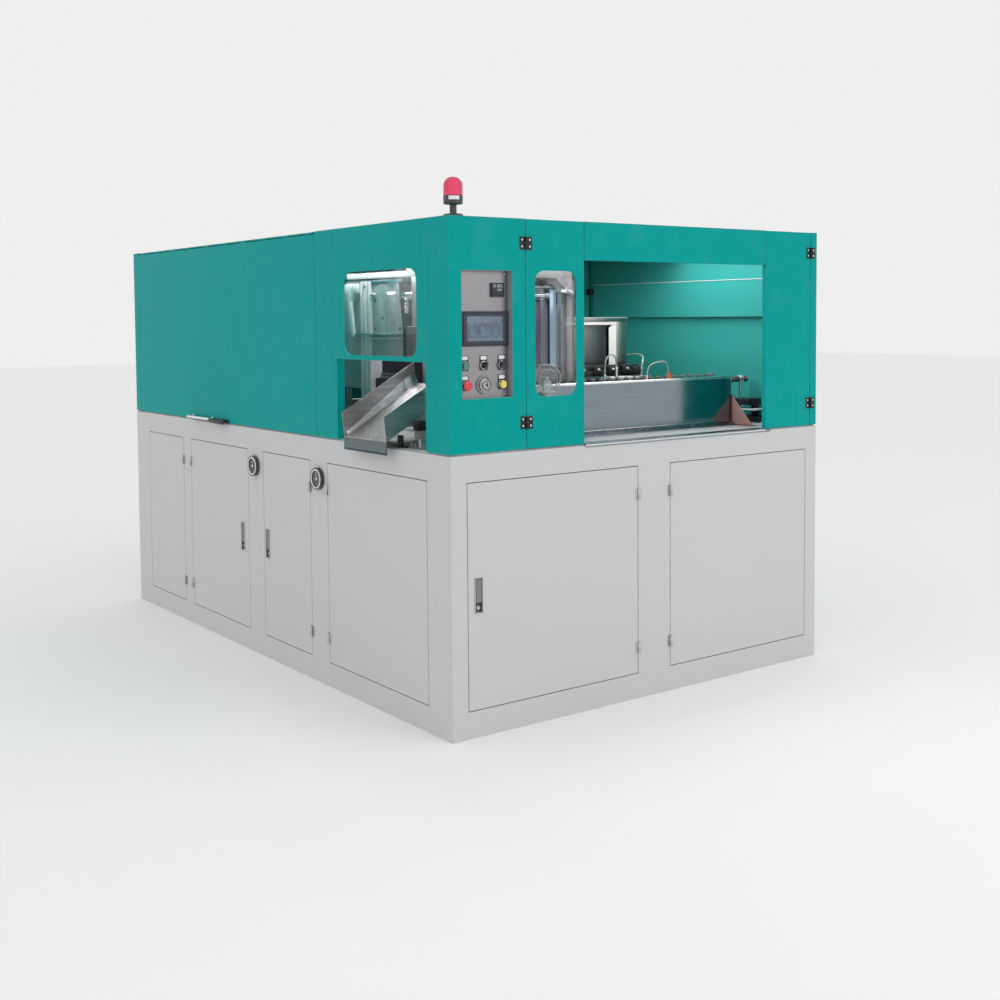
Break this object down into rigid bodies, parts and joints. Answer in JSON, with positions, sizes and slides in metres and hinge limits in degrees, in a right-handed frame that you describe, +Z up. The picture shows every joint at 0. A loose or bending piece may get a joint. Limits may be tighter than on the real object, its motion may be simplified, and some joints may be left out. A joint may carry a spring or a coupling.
{
  "type": "blow moulding machine",
  "caption": "Cabinet-style automatic blow moulding machine: heats plastic preforms, stretches and blows them into bottles in a clamped mould, and slides the bottles out down a side chute.",
  "frame": {"origin": "centre of the cabinet's footprint, on the floor under the middle cross member", "axes": "+Z up; -Y is the operator's front with the control panel; -X is the long side with the discharge chute; the machine's length runs along Y"},
  "size_m": [2.162, 3.2135, 2.149],
  "materials": {
    "teal_paint": "satin powder coat",
    "grey_paint": "satin powder coat",
    "frame_steel": "painted tube",
    "deck_metal": "satin",
    "stainless": "brushed",
    "polished_steel": "polished",
    "tool_steel": "ground",
    "alloy": "satin",
    "hinge_steel": "zinc plated",
    "black_metal": "satin black",
    "black_plastic": "moulded",
    "screen_plastic": "moulded",
    "clear_pane": "clear acrylic",
    "red_plastic": "gloss",
    "green_plastic": "gloss",
    "yellow_plastic": "gloss",
    "dome_plastic": "translucent",
    "dark_plastic": "moulded",
    "rust_primer": "primer",
    "chrome_ring": "polished"
  },
  "bodies": {
    "machine": {"barrel_hinge_halves": "hinge_steel", "beacon_base": "dark_plastic", "beacon_dome": "dome_plastic", "control_collars": "chrome_ring", "control_column": "teal_paint", "control_plate": "stainless", "deck_plate": "deck_metal", "discharge_chute": "stainless", "feed_rails": "black_metal", "fixed_platens": "alloy", "frame_posts": "frame_steel", "frame_rails": "frame_steel", "front_header": "teal_paint", "front_right_corner": "teal_paint", "gauge_cases": "chrome_ring", "guard_gusset": "rust_primer", "guard_sheet": "polished_steel", "leaf_hinge_halves": "black_metal", "left_side_posts": "teal_paint", "left_window_pane": "clear_pane", "left_window_panel": "teal_paint", "lift_door_hinge": "teal_paint", "lower_front_panel": "grey_paint", "lower_left_panel": "grey_paint", "lower_plain_panels": "grey_paint", "mould_half_fixed": "tool_steel", "oven_housing": "stainless", "roof_panel": "teal_paint", "screen_and_meter": "screen_plastic", "service_ports": "hinge_steel", "sill_strip": "stainless", "stretch_bridge": "alloy", "tie_bars": "polished_steel", "upper_rear_panel": "teal_paint", "upper_right_panel": "teal_paint"},
    "left_door_rear": {"left_door_rear": "grey_paint"},
    "left_door_wide": {"left_door_wide": "grey_paint"},
    "left_door_wide_paddle": {"left_door_wide_paddle": "black_metal"},
    "left_door_narrow": {"left_door_narrow": "grey_paint"},
    "left_door_narrow_paddle": {"left_door_narrow_paddle": "black_metal"},
    "left_door_front": {"left_door_front": "grey_paint"},
    "front_door_left": {"front_door_left": "grey_paint"},
    "front_door_left_paddle": {"front_door_left_paddle": "black_metal"},
    "front_door_right": {"front_door_right": "grey_paint"},
    "front_window_door": {"front_window_door": "teal_paint", "front_window_pane": "clear_pane"},
    "right_front_door": {"right_front_door": "teal_paint"},
    "side_lift_door": {"side_lift_door": "teal_paint", "lift_door_handle": "polished_steel"},
    "green_button": {"green_button": "green_plastic"},
    "black_button": {"black_button": "black_plastic"},
    "yellow_button": {"yellow_button": "yellow_plastic"},
    "emergency_stop": {"emergency_stop": "red_plastic"},
    "mode_selector": {"mode_selector": "black_plastic"},
    "speed_selector": {"speed_selector": "chrome_ring"},
    "gauge_needle_rear": {"gauge_needle_rear": "black_metal"},
    "gauge_needle_front": {"gauge_needle_front": "black_metal"},
    "moving_platen": {"moving_platen": "alloy", "mould_half_moving": "tool_steel"},
    "stretch_carriage": {"stretch_carriage": "alloy"}
  },
  "joints": [
    {"name": "left_door_rear_swing", "type": "hinge", "parent": "machine", "child": "left_door_rear", "pos_m": [-1.057, 0.9235, 0.55], "axis": [0, 0, 1], "range_deg": [0, 100]},
    {"name": "left_door_wide_swing", "type": "hinge", "parent": "machine", "child": "left_door_wide", "pos_m": [-1.057, 0.8215, 0.55], "axis": [0, 0, 1], "range_deg": [-100, 0]},
    {"name": "left_door_wide_paddle_pull", "type": "hinge", "parent": "left_door_wide", "child": "left_door_wide_paddle", "pos_m": [-1.049, 0.205, 0.613], "axis": [0, 1, 0], "range_deg": [0, 50]},
    {"name": "left_door_narrow_swing", "type": "hinge", "parent": "machine", "child": "left_door_narrow", "pos_m": [-1.057, -0.4915, 0.55], "axis": [0, 0, 1], "range_deg": [0, 100]},
    {"name": "left_door_narrow_paddle_pull", "type": "hinge", "parent": "left_door_narrow", "child": "left_door_narrow_paddle", "pos_m": [-1.049, -0.063, 0.613], "axis": [0, 1, 0], "range_deg": [0, 50]},
    {"name": "left_door_front_swing", "type": "hinge", "parent": "machine", "child": "left_door_front", "pos_m": [-1.057, -0.6485, 0.55], "axis": [0, 0, 1], "range_deg": [-100, 0]},
    {"name": "front_door_left_swing", "type": "hinge", "parent": "machine", "child": "front_door_left", "pos_m": [-0.0905, -1.597, 0.55], "axis": [0, 0, 1], "range_deg": [0, 100]},
    {"name": "front_door_left_paddle_pull", "type": "hinge", "parent": "front_door_left", "child": "front_door_left_paddle", "pos_m": [-0.922, -1.589, 0.613], "axis": [1, 0, 0], "range_deg": [-50, 0]},
    {"name": "front_door_right_swing", "type": "hinge", "parent": "machine", "child": "front_door_right", "pos_m": [0.0975, -1.597, 0.55], "axis": [0, 0, 1], "range_deg": [-100, 0]},
    {"name": "front_window_door_swing", "type": "hinge", "parent": "machine", "child": "front_window_door", "pos_m": [-0.6835, -1.5965, 1.55], "axis": [0, 0, 1], "range_deg": [-110, 0]},
    {"name": "right_front_door_swing", "type": "hinge", "parent": "machine", "child": "right_front_door", "pos_m": [1.0055, -1.5965, 1.55], "axis": [0, 0, 1], "range_deg": [0, 110]},
    {"name": "side_lift_door_lift", "type": "hinge", "parent": "machine", "child": "side_lift_door", "pos_m": [-1.044, 0.48, 1.994], "axis": [0, 1, 0], "range_deg": [0, 85]},
    {"name": "green_button_press", "type": "slide", "parent": "machine", "child": "green_button", "axis": [0, 1, 0], "range_m": [0, 0.004], "stiffness_N_per_m": 120},
    {"name": "black_button_press", "type": "slide", "parent": "machine", "child": "black_button", "axis": [0, 1, 0], "range_m": [0, 0.004], "stiffness_N_per_m": 120},
    {"name": "yellow_button_press", "type": "slide", "parent": "machine", "child": "yellow_button", "axis": [0, 1, 0], "range_m": [0, 0.004], "stiffness_N_per_m": 120},
    {"name": "emergency_stop_press", "type": "slide", "parent": "machine", "child": "emergency_stop", "axis": [0, 1, 0], "range_m": [0, 0.005], "stiffness_N_per_m": 300},
    {"name": "mode_selector_turn", "type": "hinge", "parent": "machine", "child": "mode_selector", "pos_m": [-0.869, -1.57, 1.435], "axis": [0, -1, 0], "range_deg": [-45, 45]},
    {"name": "speed_selector_turn", "type": "hinge", "parent": "machine", "child": "speed_selector", "pos_m": [-0.869, -1.57, 1.359], "axis": [0, -1, 0], "range_deg": [-135, 135]},
    {"name": "gauge_needle_rear_turn", "type": "hinge", "parent": "machine", "child": "gauge_needle_rear", "pos_m": [-1.064, 0.061, 0.915], "axis": [-1, 0, 0], "range_deg": [-135, 135], "stiffness_Nm_per_rad": 0.02},
    {"name": "gauge_needle_front_turn", "type": "hinge", "parent": "machine", "child": "gauge_needle_front", "pos_m": [-1.064, -0.573, 0.915], "axis": [-1, 0, 0], "range_deg": [-135, 135], "stiffness_Nm_per_rad": 0.02},
    {"name": "clamp_close", "type": "slide", "parent": "machine", "child": "moving_platen", "axis": [0, -1, 0], "range_m": [0, 0.084]},
    {"name": "stretch_stroke", "type": "slide", "parent": "machine", "child": "stretch_carriage", "axis": [0, 0, -1], "range_m": [0, 0.22]}
  ]
}
